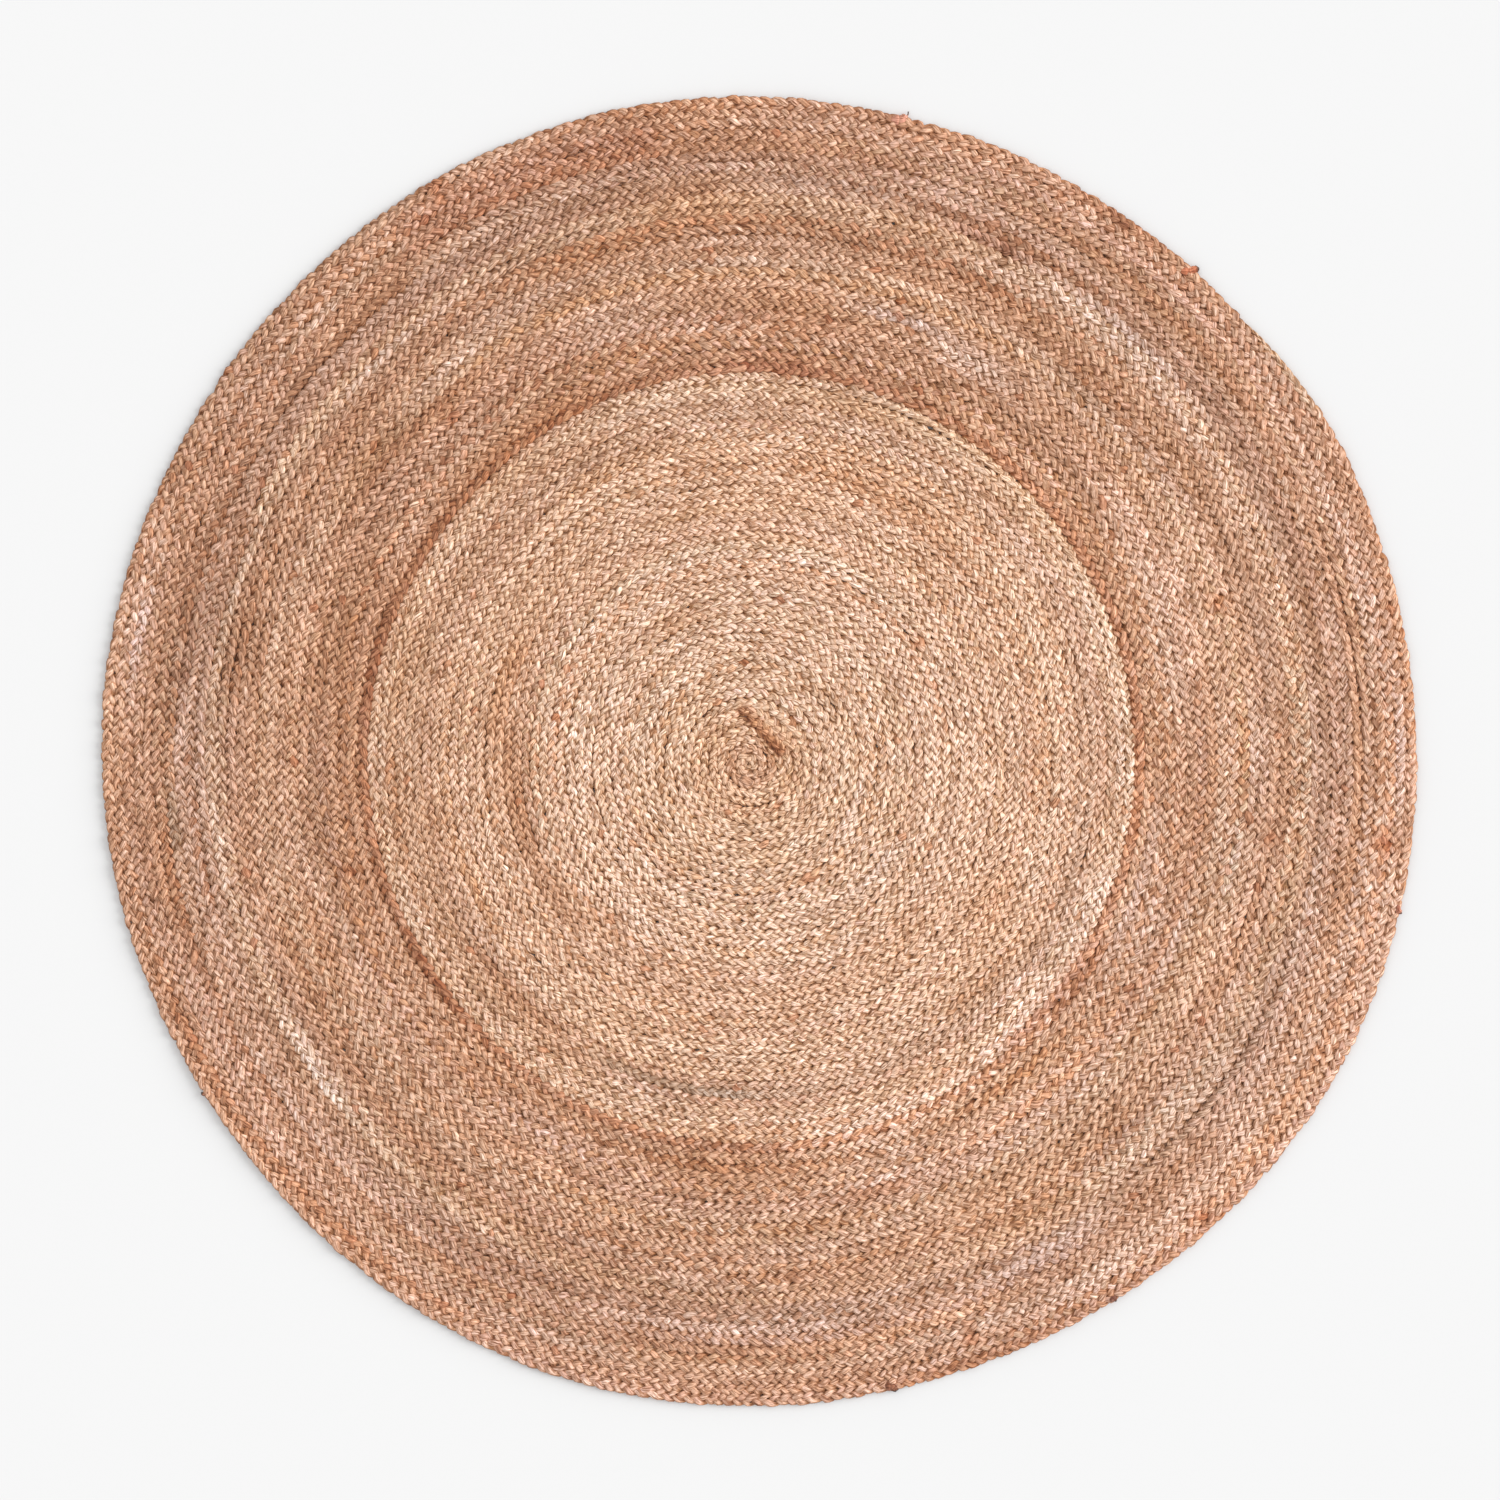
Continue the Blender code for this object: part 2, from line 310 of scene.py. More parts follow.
# One side of the rug has faded: how much, and in which direction most. The outer turns' share starts
# at one radius and is full this far beyond it. The zone inside them fades in and out like that, and
# its lightest side is at 0 degrees.
OUTER_FADE = 0.09
OUTER_FADE_ANGLE = -35.0
OUTER_ZONE = (0.36, 0.10)
MIDDLE_FADE = 0.085
MIDDLE_ZONE = ((0.22, 0.05), (0.53, 0.06))

# The fibre material. Streaks: how many in a metre along the strand and across it, and their detail.
BROAD = (22.0, 420.0, 2.0)
FINE = (150.0, 900.0, 3.0)
SPLIT = (75.0, 600.0, 1.0)
STREAK_RANGE = (0.30, 0.70)   # the part of the noise that counts
SPLIT_RANGE = (0.36, 0.50)
BROAD_COLOURS = ((0.92, 0.88, 0.83), (1.08, 1.09, 1.10))
# Fine streaks: fibre tone and painted highlight and shade, lightest where the relief is raised.
FINE_TONE_AND_PAINTED_LIGHT = ((0.50, 0.38, 0.28), (1.46, 1.60, 1.76))
# Painted shade in the furrows where the fibres part.
SPLIT_PAINTED_SHADE = ((0.54, 0.42, 0.32), (1.05, 1.05, 1.05))
FINE_ROUGHNESS = (0.86, 0.66)
SPLIT_RELIEF = (0.0, 0.8)
RELIEF_STRENGTH = 0.8
RELIEF_DEPTH = 0.0005
FIBRE_SPECULAR = 0.35
SHEEN = 0.15
SHEEN_ROUGHNESS = 0.5
SHEEN_TINT = (1.0, 0.90, 0.78, 1.0)

# The studio.
FLOOR_COLOUR = (0.71, 0.71, 0.71, 1.0)
FLOOR_ROUGHNESS = 0.9
FLOOR_SPECULAR = 0.1
FLOOR_REACH = 30.0
WORLD_STRENGTH = 0.980
SUN_STRENGTH = 2.5
SUN_SPREAD = math.radians(40.0)
SUN_ELEVATION = math.radians(25.0)
SUN_BEARING = math.radians(12.0)
VIEW_WIDTH = 1.719            # what the picture shows, and the point under the camera
VIEW_MIDDLE = (-0.0104, 0.0018)
LENS = 85.0
SENSOR = 36.0

# Seeds: one for each thing that is random. A strand or a knot adds its number to some of them.
SEED = 20
PACE_SEED = 1
TUG_SEED = 2
ROLL_SEED = 3
FAST_ROLL_SEED = 4
SIDE_SEED = 5
FIBRE_SEED = 100
SWING_SEED = 190
GRAIN_SEED = 200
SIZE_SEED = 201
STRAND_SEED_STEP = 20         # between one strand's grains and sizes and the next one's
SHADE_SEED = 230
STITCH_SEED = 400
KNOT_SEED = 500
KNOT_WAVER_SEEDS = (520, 540)


def linear(colour):
    """Display values, 0 to 255, as linear light, by the sRGB formula."""
    share = np.asarray(colour, float) / 255.0
    return np.where(share <= 0.04045, share / 12.92, ((share + 0.055) / 1.055) ** 2.4)


def unit(vectors):
    return vectors / np.maximum(np.linalg.norm(vectors, axis=-1, keepdims=True), TINY)


def heading(degrees):
    return np.array([math.cos(math.radians(degrees)), math.sin(math.radians(degrees)), 0.0])


def ramp(value, zero, length):
    """0 at one value and 1 this far above it, or this far below it where the length is negative."""
    return np.clip((value - zero) / length, 0.0, 1.0)


def from_least(least, part):
    """From the least share, where the part is 0, to 1 where it is 1."""
    return least + (1.0 - least) * part


def eased(part):
    return part * part * (3.0 - 2.0 * part)


def bump(distance, width):
    """1 at no distance, about a third at the width and next to nothing at twice the width."""
    return np.exp(-(distance / width) ** 2)


def wander(at, uneven, seed):
    """A smooth random line, with a given spread and a new value after each step of distance."""
    spread, step = uneven
    values = np.random.default_rng([SEED, seed]).standard_normal(int(np.max(at) / step) + 4)
    place = np.asarray(at) / step
    index = np.floor(place).astype(int)
    part = eased(place - index)
    return spread * (values[index] * (1.0 - part) + values[index + 1] * part)


def edge_radius(turns):
    """Distance from the coil's centre to the outer edge of the plait, after this many turns."""
    change = PITCH_CHANGE_RADIUS / INNER_PITCH
    inner = np.maximum(turns, 0.0) * INNER_PITCH
    return np.where(turns <= change, inner, PITCH_CHANGE_RADIUS + (turns - change) * OUTER_PITCH)


def turns_at(radius):
    if radius <= PITCH_CHANGE_RADIUS:
        return radius / INNER_PITCH
    return PITCH_CHANGE_RADIUS / INNER_PITCH + (radius - PITCH_CHANGE_RADIUS) / OUTER_PITCH


def plan(angle, radius):
    """Points of the coil: its centre drifts outwards and its rim is wavy."""
    share = np.minimum(radius / RUG_RADIUS, 1.0)
    wave = sum(high * np.cos(count * (angle - math.radians(crest))) for count, high, crest in RIM_WAVES)
    facing = np.maximum(np.cos(angle - math.radians(FLAT_ANGLE)), 0.0) ** FLAT_SHARPNESS
    spread = np.where(radius < FLAT_RADIUS, FLAT_INSIDE, FLAT_OUTSIDE)
    reach = radius + wave * share ** 2 - FLAT_DEPTH * bump(radius - FLAT_RADIUS, spread) * facing
    x = COIL_CENTRE[0] * (1.0 - share) + RIM_CENTRE[0] * share + reach * np.cos(angle)
    y = COIL_CENTRE[1] * (1.0 - share) + RIM_CENTRE[1] * share + reach * np.sin(angle)
    return np.stack([x, y], -1)


class Coil:
    """The plait's own line, from the middle of the rug to the free end, by distance along it."""

    def __init__(self):
        whole = math.floor(turns_at(RUG_RADIUS + 0.5 * OUTER_PITCH))
        self.last = whole + TAIL_ANGLE / TURN
        self.turns = np.linspace(FIRST_TURN, self.last + TAIL_TURNS, COIL_POINTS)
        steps = np.linalg.norm(np.diff(self.centre(self.turns), axis=0), axis=1)
        self.along = np.concatenate([[0.0], np.cumsum(steps)])
        self.length = self.along[-1]
        self.phase = self.settled(np.concatenate([[0.0], np.cumsum(self.pace() * steps)]))
        seams = [turns_at(radius) for radius in (START_RADIUS, *LENGTH_END_RADII)] + [self.last]
        self.ends = [0.0, *np.interp(seams, self.turns, self.along).tolist(), self.length]

    def pace(self):
        """How fast the plaiting goes on from each point to the next, in radians per metre."""
        grain = np.interp(edge_radius(self.turns), PLAIT_RADII, GRAINS)
        uneven = 1.0 + wander(self.along, TIGHTNESS, PACE_SEED) + wander(self.along, TUGS, TUG_SEED)
        rate = TURN / (STRANDS * grain) * np.clip(uneven, *PACE_LIMITS)
        return 0.5 * (rate[1:] + rate[:-1])

    def settled(self, phase):
        """Each turn's grains slip a little, so that they bed into the gaps of the turn inside it."""
        grain = TURN / STRANDS
        for whole in range(1, math.ceil(self.turns[-1])):
            later = self.turns >= whole + FIRST_TURN
            now = np.flatnonzero(later & (self.turns < whole + 1 + FIRST_TURN))
            inside = np.interp(self.turns[now] - 1.0, self.turns, phase)
            extra = (phase[now] - inside) / grain
            phase[now] = inside + grain * (extra - BEDDING * np.sin(TURN * extra) / TURN)
        return phase

    def edges(self, turns):
        """The plait's inner and outer edge; it narrows to nothing along the free end."""
        inner = edge_radius(turns - 1.0)
        left = 1.0 - ramp(turns, self.last, TAIL_TURNS)
        outer = inner + (edge_radius(turns) - inner) * left ** TAIL_THINNING
        return plan(turns * TURN, inner), plan(turns * TURN, outer)

    def centre(self, turns):
        inner, outer = self.edges(turns)
        return 0.5 * (inner + outer)

    def half_width(self, turns):
        inner, outer = self.edges(turns)
        return 0.5 * np.linalg.norm(outer - inner, axis=-1)

    def steps(self, begin, end):
        """Even steps of the plaiting between two distances along the plait."""
        step = TURN / SAMPLES
        first = math.ceil(np.interp(begin, self.along, self.phase) / step)
        final = math.floor(np.interp(end, self.along, self.phase) / step)
        return np.arange(first, final + 1) * step

    def outward(self, turns):
        """Level direction across the plait, away from the middle of the rug."""
        tangent = unit(self.centre(turns + NUDGE) - self.centre(turns - NUDGE))
        return np.stack([tangent[:, 1], -tangent[:, 0], np.zeros(len(turns))], -1)


class Fibre:
    """The colour of one strand by distance: bundles of jute, each one near its batch's colour."""

    def __init__(self, coil, strand):
        rng = np.random.default_rng([SEED, FIBRE_SEED + strand])
        starts = []
        colours = []
        for number, (begin, end) in enumerate(zip(coil.ends, coil.ends[1:])):
            _, seen, spread, rusty = BATCHES[number]
            place = begin
            while place < end:
                apart = BUNDLE_SPREAD * spread * np.clip(rng.normal(), -BUNDLE_MOST, BUNDLE_MOST)
                colour = linear(seen) * np.exp(apart * np.array(DEEPER))
                colour = colour * np.exp(BUNDLE_HUE * rng.normal(size=3))
                if rng.random() < rusty:
                    colour = colour * RUST
                starts.append(place)
                colours.append(colour)
                place += rng.gamma(BUNDLE_SHAPE, BUNDLE_LENGTH)
        self.starts = np.array(starts)
        self.colours = np.array(colours)

    def at(self, along):
        """Each bundle's colour, fading into the next over a few centimetres."""
        found = np.searchsorted(self.starts, along, side="right") - 1
        index = np.clip(found, 0, len(self.starts) - 1)
        before = np.maximum(index - 1, 0)
        part = eased(ramp(along, self.starts[index], BUNDLE_FADE))[:, None]
        return self.colours[before] * (1.0 - part) + self.colours[index] * part


class Cloud:
    """Smooth random patches over the rug, longer round the turns than across them."""

    def __init__(self, seed, degrees, width):
        self.cells = round(360.0 / degrees)
        self.width = width
        rows = math.ceil(PATCH_REACH / width)
        self.values = np.random.default_rng([SEED, seed]).standard_normal((rows, self.cells))

    def at(self, turns, radius):
        across = np.clip(radius / self.width, 0.0, len(self.values) - 1 - TINY)
        circling = (turns % 1.0) * self.cells
        row = across.astype(int)
        column = circling.astype(int) % self.cells
        after = (column + 1) % self.cells
        u = eased(circling - np.floor(circling))
        v = eased(across - row)
        low = self.values[row, column] * (1.0 - u) + self.values[row, after] * u
        high = self.values[row + 1, column] * (1.0 - u) + self.values[row + 1, after] * u
        return low * (1.0 - v) + high * v


CLOUDS = [(Cloud(seed, degrees, width), much, colour) for seed, degrees, width, much, colour in PATCHES]


def faded(radius, degrees):
    """How much lighter or darker a place is than its batch, and how far it is in the outer turns."""
    outer = ramp(radius, *OUTER_ZONE)
    (start, rise), (end, fall) = MIDDLE_ZONE
    middle = ramp(radius, start, rise) * ramp(radius, end, -fall)
    much = OUTER_FADE * outer * np.cos(np.radians(degrees - OUTER_FADE_ANGLE))
    return much + MIDDLE_FADE * middle * np.cos(np.radians(degrees)), outer


def stained(radius, degrees):
    """Every ring, arc and spot: how strongly it covers a place, and its colour."""
    for at, width, colour in RINGS:
        yield bump(radius - at, STAIN_WIDTH * width), colour
    for at, width, first, last, colour in ARCS:
        soft = math.degrees(ARC_FADE / at)
        past = (degrees - first) % 360.0
        within = ramp(past, 0.0, soft) * ramp(past, last - first, -soft)
        yield within * bump(radius - at, STAIN_WIDTH * width), colour
    for at, direction, size, colour in SPOTS:
        beside = at * np.radians((degrees - direction + 180.0) % 360.0 - 180.0)
        yield bump(radius - at, size) * bump(beside, size), colour


def weathered(turns):
    """What a place on the rug does to the colour of its fibre."""
    radius = edge_radius(turns - 0.5)
    degrees = (turns % 1.0) * 360.0
    fade, outer = faded(radius, degrees)
    log = fade[:, None] * np.array(DEEPER)
    for cloud, much, colour in CLOUDS:
        patchy = from_least(PATCH_INSIDE, outer) * much * cloud.at(turns, radius)
        log += patchy[:, None] * np.array(colour)
    for cover, colour in stained(radius, degrees):
        log += cover[:, None] * np.log(colour)
    return np.exp(log)


def joined(points):
    """The straight join near the middle: its colour, painted shade in its grooves with rust-brown fibre
    beside them, and how deep a point lies in its grooves.
    """
    start = np.array(JOIN_FROM)
    reach = np.array(JOIN_TO) - start
    length = np.linalg.norm(reach)
    reach /= length
    offset = points[..., :2] - start
    along = offset @ reach / length
    beside = offset @ np.array([reach[1], -reach[0]])
    within = ramp(along, 0.0, JOIN_FADES[0]) * ramp(along, 1.0, -JOIN_FADES[1])
    deep = from_least(JOIN_SHALLOW, 0.5 * (1.0 + np.cos(TURN * along)))
    # Painted shade darkens the grooves; the band beside them is rust-brown fibre.
    line = within * deep * bump(beside, JOIN_LINE)
    near = within * JOIN_NEXT_DEEP * ramp(along, JOIN_NEXT_REACH, -JOIN_NEXT_REACH)
    line += near * bump(beside - JOIN_NEXT, JOIN_LINE)
    band = within * ramp(beside, 0.0, JOIN_LINE) * np.exp(-(beside / JOIN_BAND) ** 4)
    band *= 1.0 - JOIN_BAND_FADE * along
    return np.exp(line[..., None] * np.log(JOIN_PAINTED_SHADE) + band[..., None] * np.log(JOIN_RUST)), line


def end_share(along, begin, end):
    """1 along a strand and 0 at its ends, where it tapers; the start of the plait has no taper."""
    from_start = along - begin if begin > 0.0 else SPLICE
    return ramp(np.minimum(from_start, end - along), 0.0, SPLICE)


def grains_of(swing, strand):
    """How each visible grain differs, point by point: its size, side, rise and shade, and if it's hard."""
    from_low_point = swing / math.pi + 0.25
    number = np.floor(from_low_point).astype(int)
    rng = np.random.default_rng([SEED, GRAIN_SEED + STRAND_SEED_STEP * strand])
    grains = rng.standard_normal((number.max() + 2, 5))
    grains[:, 4] = rng.random(len(grains)) < NODULE_CHANCE
    return grains[number].T


class Run:
    """One strand over one length of plait. It swings once across the plait and back in a period."""

    def __init__(self, coil, strand, begin, end):
        phase = coil.steps(begin, end)
        along = np.interp(phase, coil.phase, coil.along)
        turned = phase + strand * TURN / STRANDS
        self.strand = strand
        self.swing = turned + wander(along, UNEVEN_SWING, SWING_SEED + strand)
        self.along = np.interp(phase + LINGER * np.sin(4.0 * self.swing), coil.phase, coil.along)
        self.turns = np.interp(self.along, coil.along, coil.turns)
        self.middle = coil.centre(self.turns)
        self.outward = coil.outward(self.turns)
        self.half = coil.half_width(self.turns)
        self.full = np.minimum(self.half / (0.5 * OUTER_PITCH), 1.0)
        self.ends = end_share(self.along, begin, end)
        self.size, self.side, self.rise, self.shade, self.hard = grains_of(self.swing, strand)

    def centre(self):
        """Its middle line, which rises over one neighbour and dips under the other in each swing."""
        across = np.sin(self.swing) - EDGE_TURN * np.sin(3.0 * self.swing)
        across *= np.interp(edge_radius(self.turns), PLAIT_RADII, SWAYS)
        sway = self.half * (across * from_least(SPLICE_SWAY, self.ends) + GRAIN_SIDE * self.side)
        lift = RISE * np.sin(2.0 * self.swing) * from_least(SPLICE_RISE, self.ends)
        rise = THICKNESS * (lift + GRAIN_RISE * self.rise)
        roll = wander(self.along, SLOW_ROLL, ROLL_SEED) + wander(self.along, FAST_ROLL, FAST_ROLL_SEED)
        side = sway * np.cos(roll) - rise * np.sin(roll)
        side += self.half * wander(self.along, UNEVEN_SIDE, SIDE_SEED)
        height = rise * np.cos(roll) + sway * np.sin(roll)
        centre = self.outward * side[:, None]
        centre[:, :2] += self.middle
        centre[:, 2] += 0.5 * THICKNESS + height * self.full
        return centre

    def sizes(self):
        """Its half width and half height."""
        uneven = wander(self.along, UNEVEN_SIZE, SIZE_SEED + STRAND_SEED_STEP * self.strand)
        fat = 1.0 + uneven + GRAIN_SIZE * self.size + NODULE_SIZE * self.hard
        fat *= from_least(SPLICE_SIZE, self.ends)
        plump = 1.0 + PLUMP * np.cos(4.0 * (self.swing - 0.25 * math.pi))
        wide = self.half * WIDE * fat * plump
        high = THICKNESS * HIGH * fat * 0.5 * (1.0 + plump) * from_least(NARROW_HIGH, self.full)
        return wide, high

    def colour(self, fibre):
        """The colour of its fibre where it lies open to the light."""
        uneven = wander(self.along, UNEVEN_SHADE, SHADE_SEED + self.strand)
        grainy = (GRAIN_SHADE * self.shade + uneven)[:, None] * np.array(DEEPER)
        colour = fibre.at(self.along) * weathered(self.turns) * np.exp(grainy)
        return np.where(self.hard[:, None] > 0.5, colour * NODULE, colour) * UNSHADED


def painted_shade(points, angle):
    """Painted shade: the fibre darkened deep between two grains and at a strand's sides, where shade
    falls.
    """
    level = 2.0 * np.abs(points[..., 2] / THICKNESS - 0.5)
    shade = from_least(PAINTED_CREASE_SHADE, eased(ramp(level, *PAINTED_CREASE_RISE)))
    shade *= from_least(PAINTED_SIDE_SHADE, np.abs(np.sin(angle)) ** PAINTED_SIDE_FADE)
    return shade[..., None] ** np.array(PAINTED_SHADE_CHANNELS)


def angles(sides):
    return np.arange(sides) * TURN / sides


def rings(centre, across, up, wide, high, sides):
    """Rings of points round a line, none of them below the floor's gap."""
    angle = angles(sides)
    points = centre[:, None, :] + across[:, None, :] * (np.cos(angle) * np.c_[wide])[..., None]
    points += up[:, None, :] * (np.sin(angle) * np.c_[high])[..., None]
    points[..., 2] = np.maximum(points[..., 2], FLOOR_GAP)
    return points


def level_frame(centre):
    """Two directions across a line at every point: a level one, and the one above it."""
    tangent = unit(np.gradient(centre, axis=0))
    across = unit(np.cross(tangent, (0.0, 0.0, 1.0)))
    return across, np.cross(across, tangent)


def strand_frame(centre, outward):
    """The same for a strand, whose first direction stays as near outward as it can."""
    tangent = unit(np.gradient(centre, axis=0))
    across = unit(outward - tangent * (outward * tangent).sum(1, keepdims=True))
    up = np.cross(across, tangent)
    return across, np.where(up[:, 2:] < 0.0, -up, up)


def fibre_line(along, radius, angle):
    """Where points lie in the fibre pattern: along the strand, and both ways across it."""
    places = np.broadcast_arrays(along[:, None], radius * np.cos(angle), radius * np.sin(angle))
    return np.stack(places, -1)


def painted(colour, points):
    """A colour for each point, with full cover."""
    tint = np.ones((*points.shape[:2], 4))
    tint[..., :3] = colour
    return tint


def tube_faces(count, sides):
    """The corners and sizes of a closed tube's faces: those of its wall, then its two ends."""
    index = np.arange(count * sides).reshape(count, sides)
    after = np.roll(index, -1, axis=1)
    quads = np.stack([index[:-1], after[:-1], after[1:], index[1:]], -1).reshape(-1, 4)
    corners = np.concatenate([quads.ravel(), index[0, ::-1], index[-1]])
    return corners, np.concatenate([np.full(len(quads), 4), [sides, sides]])


def bake_map(count, sides):
    """A tube's wall laid out flat in rows, with its two ends in the corner of the map."""
    rows = max(1, math.ceil(math.sqrt((count - 1) / MAP_ASPECT)))
    per_row = math.ceil((count - 1) / rows)
    segment = np.arange(count - 1)
    row = (segment // per_row)[:, None]
    left = (segment % per_row) / per_row
    right = (segment % per_row + 1) / per_row
    side = np.arange(sides)[None, :]
    low = (row + (side + 0.5) / (sides + 1.0)) / rows
    high = (row + (side + 1.5) / (sides + 1.0)) / rows
    u = np.stack([left, left, right, right], -1)[:, None, :].repeat(sides, 1)
    v = np.stack([low, high, high, low], -1)
    wall = MAP_EDGE + (1.0 - 2.0 * MAP_EDGE) * np.stack([u, v], -1).reshape(-1, 2)
    return np.concatenate([wall, np.full((2 * sides, 2), 0.5 * MAP_EDGE)])


def tube(name, points, grain_line, tint):
    """A mesh of one closed tube from rings of points, with its bake map."""
    count, sides = points.shape[:2]
    corners, sizes = tube_faces(count, sides)
    starts = np.concatenate([[0], np.cumsum(sizes)[:-1]])
    mesh = bpy.data.meshes.new(name)
    mesh.vertices.add(count * sides)
    mesh.vertices.foreach_set("co", points.astype(np.float32).ravel())
    mesh.loops.add(len(corners))
    mesh.loops.foreach_set("vertex_index", corners.astype(np.int32))
    mesh.polygons.add(len(sizes))
    mesh.polygons.foreach_set("loop_start", starts.astype(np.int32))
    mesh.polygons.foreach_set("use_smooth", np.ones(len(sizes), bool))
    mesh.update(calc_edges=True)
    line = mesh.attributes.new("grain_line", "FLOAT_VECTOR", "POINT")
    line.data.foreach_set("vector", grain_line.astype(np.float32).ravel())
    paint = mesh.attributes.new("tint", "FLOAT_COLOR", "POINT")
    paint.data.foreach_set("color", tint.astype(np.float32).ravel())
    chart = mesh.uv_layers.new(name=BAKE_UV)
    chart.data.foreach_set("uv", bake_map(count, sides).astype(np.float32).ravel())
    return mesh


def strand_mesh(name, coil, fibre, strand, begin, end):
    """A closed tube along one strand, with the attributes that its material reads."""
    run = Run(coil, strand, begin, end)
    centre = run.centre()
    wide, high = run.sizes()
    points = rings(centre, *strand_frame(centre, run.outward), wide, high, SIDES)
    angle = angles(SIDES)
    join_rust_and_shade, line = joined(points)
    # The tint holds painted shade in the creases, at the strands' sides and in the join's groove.
    tint = painted(run.colour(fibre)[:, None, :] * painted_shade(points, angle) * join_rust_and_shade, points)
    points[..., 2] = np.maximum(points[..., 2] - JOIN_DEPTH * line, FLOOR_GAP)
    twist = angle + FIBRE_TWIST * run.along[:, None]
    radius = 0.5 * (wide + high)[:, None]
    grain_line = fibre_line(run.along + STRAND_OFFSET * strand, radius, twist)
    return tube(name, points, grain_line, tint)


def stitches(name, coil, begin, end):
    """The sewing thread: it zigzags under the seam on the inner side of a length of plait."""
    along = np.arange(begin, end, STITCH)
    count = len(along)
    seam, outer = coil.edges(np.interp(along, coil.along, coil.turns))
    rng = np.random.default_rng([SEED, STITCH_SEED])
    jitter = rng.uniform(-STITCH_JITTER, STITCH_JITTER, (2, count))
    side = np.where(np.arange(count) % 2 == 0, STITCH_REACH, -STITCH_REACH) + jitter[0]
    centre = np.empty((count, 3))
    centre[:, :2] = seam + unit(outer - seam) * side[:, None]
    centre[:, 2] = FLOOR_GAP + TWINE_RADIUS + STITCH_JITTER + jitter[1]
    points = rings(centre, *level_frame(centre), TWINE_RADIUS, TWINE_RADIUS, TWINE_SIDES)
    grain_line = fibre_line(along, TWINE_RADIUS, angles(TWINE_SIDES))
    return tube(name, points, grain_line, painted(linear(TWINE), points))


def knot_line(number, degrees, part):
    """The middle line of a knot: its body lies in the last turn and bends into its loose end."""
    lie, point, length, out, thick, _, _ = KNOTS[number - 1]
    low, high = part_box(f"rim_knot_{number:02d}")
    middle = np.array([0.5 * (a + b) for a, b in zip(low, high)])
    anchor = middle - heading(degrees) * (KNOT_INSIDE + KNOT_SUNK * thick)
    first = anchor - KNOT_BACK * length * heading(lie)
    bend = anchor + KNOT_AHEAD * length * heading(lie)
    last = middle - heading(degrees) * KNOT_ROOT + heading(point) * out
    t = part[:, None]
    centre = first * (1.0 - t) ** 2 + 2.0 * bend * t * (1.0 - t) + last * t ** 2
    centre[:, 2] = THICKNESS + KNOT_UP - KNOT_FLAT * thick - KNOT_DROP * part ** 2
    for axis, seed in enumerate(KNOT_WAVER_SEEDS):
        centre[:, axis] += wander(part, KNOT_WAVER, seed + number)
    return centre


def knot(name, number, degrees):
    """A lump of wound brown fibre in the last turn, its loose end standing out of the rim."""
    _, _, length, _, thick, share, brown = KNOTS[number - 1]
    part = np.linspace(0.0, 1.0, KNOT_POINTS)
    centre = knot_line(number, degrees, part)
    swell = np.exp(-(part / share) ** KNOT_BLUNT) * np.sqrt(ramp(part, 0.0, KNOT_START))
    wound = KNOT_WIND_DEPTH * np.cos(KNOT_WINDS * part)
    rough = KNOT_ROUGH * np.random.default_rng([SEED, KNOT_SEED + number]).standard_normal(KNOT_POINTS)
    body = (thick - LOOSE_END_RADIUS) * swell * (1.0 + wound)
    radius = (LOOSE_END_RADIUS + body) * (1.0 + rough)
    points = rings(centre, *level_frame(centre), radius, KNOT_FLAT * radius, KNOT_SIDES)
    # Painted shadow: the loose end darkens towards its tip.
    shade = 1.0 - (1.0 - KNOT_TIP_PAINTED_SHADOW) * ramp(part, KNOT_TIP, KNOT_TIP_FADE)
    # Painted shade: darker in the grooves between windings, lighter on their ridges.
    shade *= np.exp(KNOT_WIND_PAINTED_SHADE * wound)
    tint = painted(linear(brown) * UNSHADED * shade[:, None, None], points)
    return tube(name, points, fibre_line(number + length * part, thick, angles(KNOT_SIDES)), tint)


def fold(name):
    """The plait's folded-over start, a smooth lump of fibre beside the first turn."""
    part = np.linspace(-1.0, 1.0, FOLD_POINTS)
    middle = np.array([*FOLD_AT, 0.5 * THICKNESS + FOLD_UP])
    centre = middle + FOLD_LENGTH * part[:, None] * heading(FOLD_ANGLE)
    across = heading(FOLD_ANGLE + 90.0)[None, :]
    up = np.array([[0.0, 0.0, 1.0]])
    swell = np.sqrt(np.maximum(1.0 - np.abs(part) ** FOLD_BLUNT, FOLD_TIP ** 2))
    points = rings(centre, across, up, FOLD_WIDE * swell, FOLD_HIGH * THICKNESS * swell, FOLD_SIDES)
    angle = angles(FOLD_SIDES)
    # Painted shade: darker at its sides, underside and thin ends, lighter on top.
    shade = swell[:, None] * from_least(FOLD_PAINTED_SHADE, np.maximum(np.sin(angle), 0.0) ** PAINTED_SIDE_FADE)
    tint = painted(linear(BATCHES[0][1]) * UNSHADED * FOLD_COLOUR * shade[..., None], points)
    return tube(name, points, fibre_line(FOLD_OFFSET + FOLD_LENGTH * part, FOLD_WIDE, angle), tint)


def attribute(tree, name):
    node = tree.nodes.new("ShaderNodeAttribute")
    node.attribute_name = name
    return node


def streaks(tree, line, along, across, detail):
    """Noise drawn out along the strand."""
    scale = tree.nodes.new("ShaderNodeMapping")
    scale.inputs["Scale"].default_value = (along, across, across)
    tree.links.new(line, scale.inputs["Vector"])
    noise = tree.nodes.new("ShaderNodeTexNoise")
    noise.inputs["Scale"].default_value = 1.0
    noise.inputs["Detail"].default_value = detail
    tree.links.new(scale.outputs["Vector"], noise.inputs["Vector"])
    return noise.outputs["Fac"]


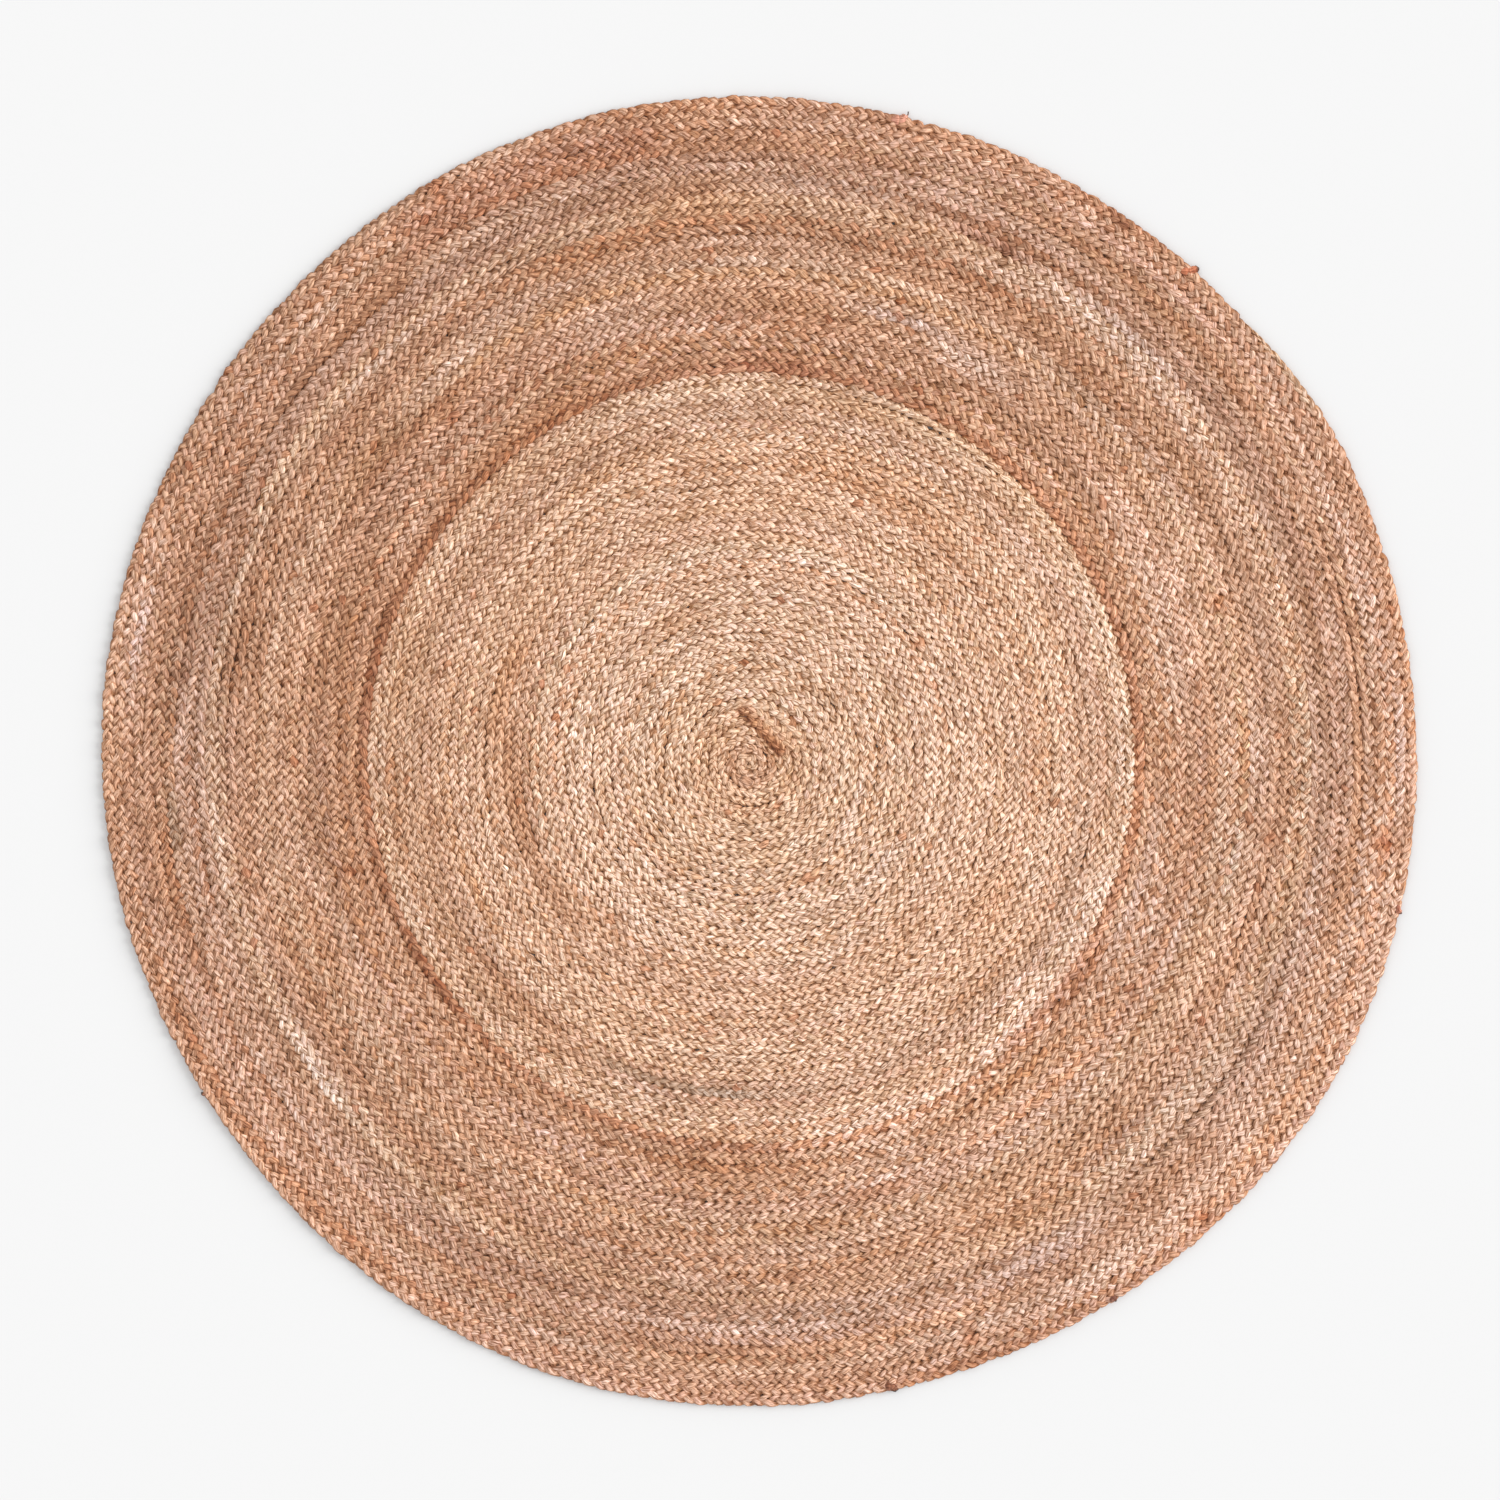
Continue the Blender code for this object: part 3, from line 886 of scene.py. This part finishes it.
def ranged(tree, value, source, result):
    """One range of a value stretched to another, and held inside it."""
    node = tree.nodes.new("ShaderNodeMapRange")
    for socket, limit in zip(("From Min", "From Max", "To Min", "To Max"), (*source, *result)):
        node.inputs[socket].default_value = limit
    tree.links.new(value, node.inputs["Value"])
    return node.outputs["Result"]


def tinted(tree, value, source, colours):
    """A colour between a dark and a light one."""
    node = tree.nodes.new("ShaderNodeMix")
    node.data_type = "RGBA"
    for socket, colour in zip("AB", colours):
        node.inputs[socket].default_value = (*colour, 1.0)
    tree.links.new(ranged(tree, value, source, (0.0, 1.0)), node.inputs["Factor"])
    return node.outputs["Result"]


def times(tree, first, second):
    node = tree.nodes.new("ShaderNodeVectorMath")
    node.operation = "MULTIPLY"
    tree.links.new(first, node.inputs[0])
    tree.links.new(second, node.inputs[1])
    return node.outputs["Vector"]


def relief(tree, fine, split):
    """The surface normal over fine streaks, with furrows where the fibres part."""
    height = tree.nodes.new("ShaderNodeMath")
    height.operation = "ADD"
    tree.links.new(fine, height.inputs[0])
    tree.links.new(ranged(tree, split, SPLIT_RANGE, SPLIT_RELIEF), height.inputs[1])
    node = tree.nodes.new("ShaderNodeBump")
    node.inputs["Strength"].default_value = RELIEF_STRENGTH
    node.inputs["Distance"].default_value = RELIEF_DEPTH
    tree.links.new(height.outputs["Value"], node.inputs["Height"])
    return node.outputs["Normal"]


def jute_material():
    """Dry plant fibre: light and dark streaks along the strand, partly painted highlight and shade, with
    painted shade where the fibres part, little shine.
    """
    material = bpy.data.materials.new("jute")
    material.use_nodes = True
    tree = material.node_tree
    shader = tree.nodes["Principled BSDF"]
    line = attribute(tree, "grain_line").outputs["Vector"]
    fine = streaks(tree, line, *FINE)
    broad = streaks(tree, line, *BROAD)
    split = streaks(tree, line, *SPLIT)
    colour = attribute(tree, "tint").outputs["Color"]
    colour = times(tree, colour, tinted(tree, broad, STREAK_RANGE, BROAD_COLOURS))
    colour = times(tree, colour, tinted(tree, fine, STREAK_RANGE, FINE_TONE_AND_PAINTED_LIGHT))
    colour = times(tree, colour, tinted(tree, split, SPLIT_RANGE, SPLIT_PAINTED_SHADE))
    tree.links.new(colour, shader.inputs["Base Color"])
    tree.links.new(ranged(tree, fine, STREAK_RANGE, FINE_ROUGHNESS), shader.inputs["Roughness"])
    tree.links.new(relief(tree, fine, split), shader.inputs["Normal"])
    shader.inputs["Specular IOR Level"].default_value = FIBRE_SPECULAR
    shader.inputs["Sheen Weight"].default_value = SHEEN
    shader.inputs["Sheen Roughness"].default_value = SHEEN_ROUGHNESS
    shader.inputs["Sheen Tint"].default_value = SHEEN_TINT
    return material


def place(name, mesh, material, nodes, slot):
    """A finished piece on the rug's one body."""
    mesh.materials.append(material)
    obj = bpy.data.objects.new(name, mesh)
    bpy.context.scene.collection.objects.link(obj)
    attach(obj, "root")
    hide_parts(*nodes)
    return obj


def make_strands(coil, jute):
    """The three strands of every length of plait, each one overlapping the next length's."""
    fibres = [Fibre(coil, strand) for strand in range(STRANDS)]
    for number, node in enumerate(NODES):
        begin = max(coil.ends[number] - 0.5 * SPLICE, 0.0)
        end = min(coil.ends[number + 1] + 0.5 * SPLICE, coil.length)
        for strand in range(STRANDS):
            name = f"{node}.strand_{'abc'[strand]}"
            mesh = strand_mesh(name, coil, fibres[strand], strand, begin, end)
            place(name, mesh, jute, [node], BATCHES[number][0])


def make_fold(jute):
    place("plait_start.fold", fold("plait_start.fold"), jute, ["plait_start"], BATCHES[0][0])


def make_seams(coil, jute):
    for number in range(1, len(NODES) - 1):
        node = f"seam_thread_{number:02d}"
        name = f"{node}.stitches"
        mesh = stitches(name, coil, coil.ends[number], coil.ends[number + 1])
        place(name, mesh, jute, [node], "twine")


def make_knots(jute):
    for number, degrees in enumerate(RIM_KNOT_ANGLES, start=1):
        node = f"rim_knot_{number:02d}"
        name = f"{node}.knotted"
        place(name, knot(name, number, degrees), jute, [node], "knot_fibre")


def floor_material():
    material = bpy.data.materials.new("pale_floor")
    material.use_nodes = True
    shader = material.node_tree.nodes["Principled BSDF"]
    shader.inputs["Base Color"].default_value = FLOOR_COLOUR
    shader.inputs["Roughness"].default_value = FLOOR_ROUGHNESS
    shader.inputs["Specular IOR Level"].default_value = FLOOR_SPECULAR
    return material


def make_floor():
    mesh = bpy.data.meshes.new("floor")
    reach = FLOOR_REACH
    corners = [(-reach, -reach, 0.0), (reach, -reach, 0.0), (reach, reach, 0.0), (-reach, reach, 0.0)]
    mesh.from_pydata(corners, [], [(0, 1, 2, 3)])
    mesh.materials.append(floor_material())
    floor = bpy.data.objects.new("floor", mesh)
    bpy.context.scene.collection.objects.link(floor)


def make_world():
    world = bpy.data.worlds.new("studio")
    world.use_nodes = True
    background = world.node_tree.nodes["Background"]
    background.inputs["Color"].default_value = (1.0, 1.0, 1.0, 1.0)
    background.inputs["Strength"].default_value = WORLD_STRENGTH
    bpy.context.scene.world = world


def make_lamp():
    """A broad soft light, low on the right."""
    data = bpy.data.lights.new("softbox", "SUN")
    data.energy = SUN_STRENGTH
    data.angle = SUN_SPREAD
    lamp = bpy.data.objects.new("softbox", data)
    lamp.rotation_euler = (0.0, 0.5 * math.pi - SUN_ELEVATION, SUN_BEARING)
    bpy.context.scene.collection.objects.link(lamp)


def make_camera():
    """Straight down on the rug, which fills most of a square frame."""
    data = bpy.data.cameras.new("camera")
    data.lens = LENS
    data.sensor_width = SENSOR
    camera = bpy.data.objects.new("camera", data)
    camera.location = (*VIEW_MIDDLE, THICKNESS + VIEW_WIDTH * LENS / SENSOR)
    bpy.context.scene.collection.objects.link(camera)
    bpy.context.scene.camera = camera


def main():
    coil = Coil()
    jute = jute_material()
    make_strands(coil, jute)
    make_fold(jute)
    make_seams(coil, jute)
    make_knots(jute)
    make_floor()
    make_world()
    make_lamp()
    make_camera()
    bpy.context.scene.view_settings.view_transform = "Standard"


main()
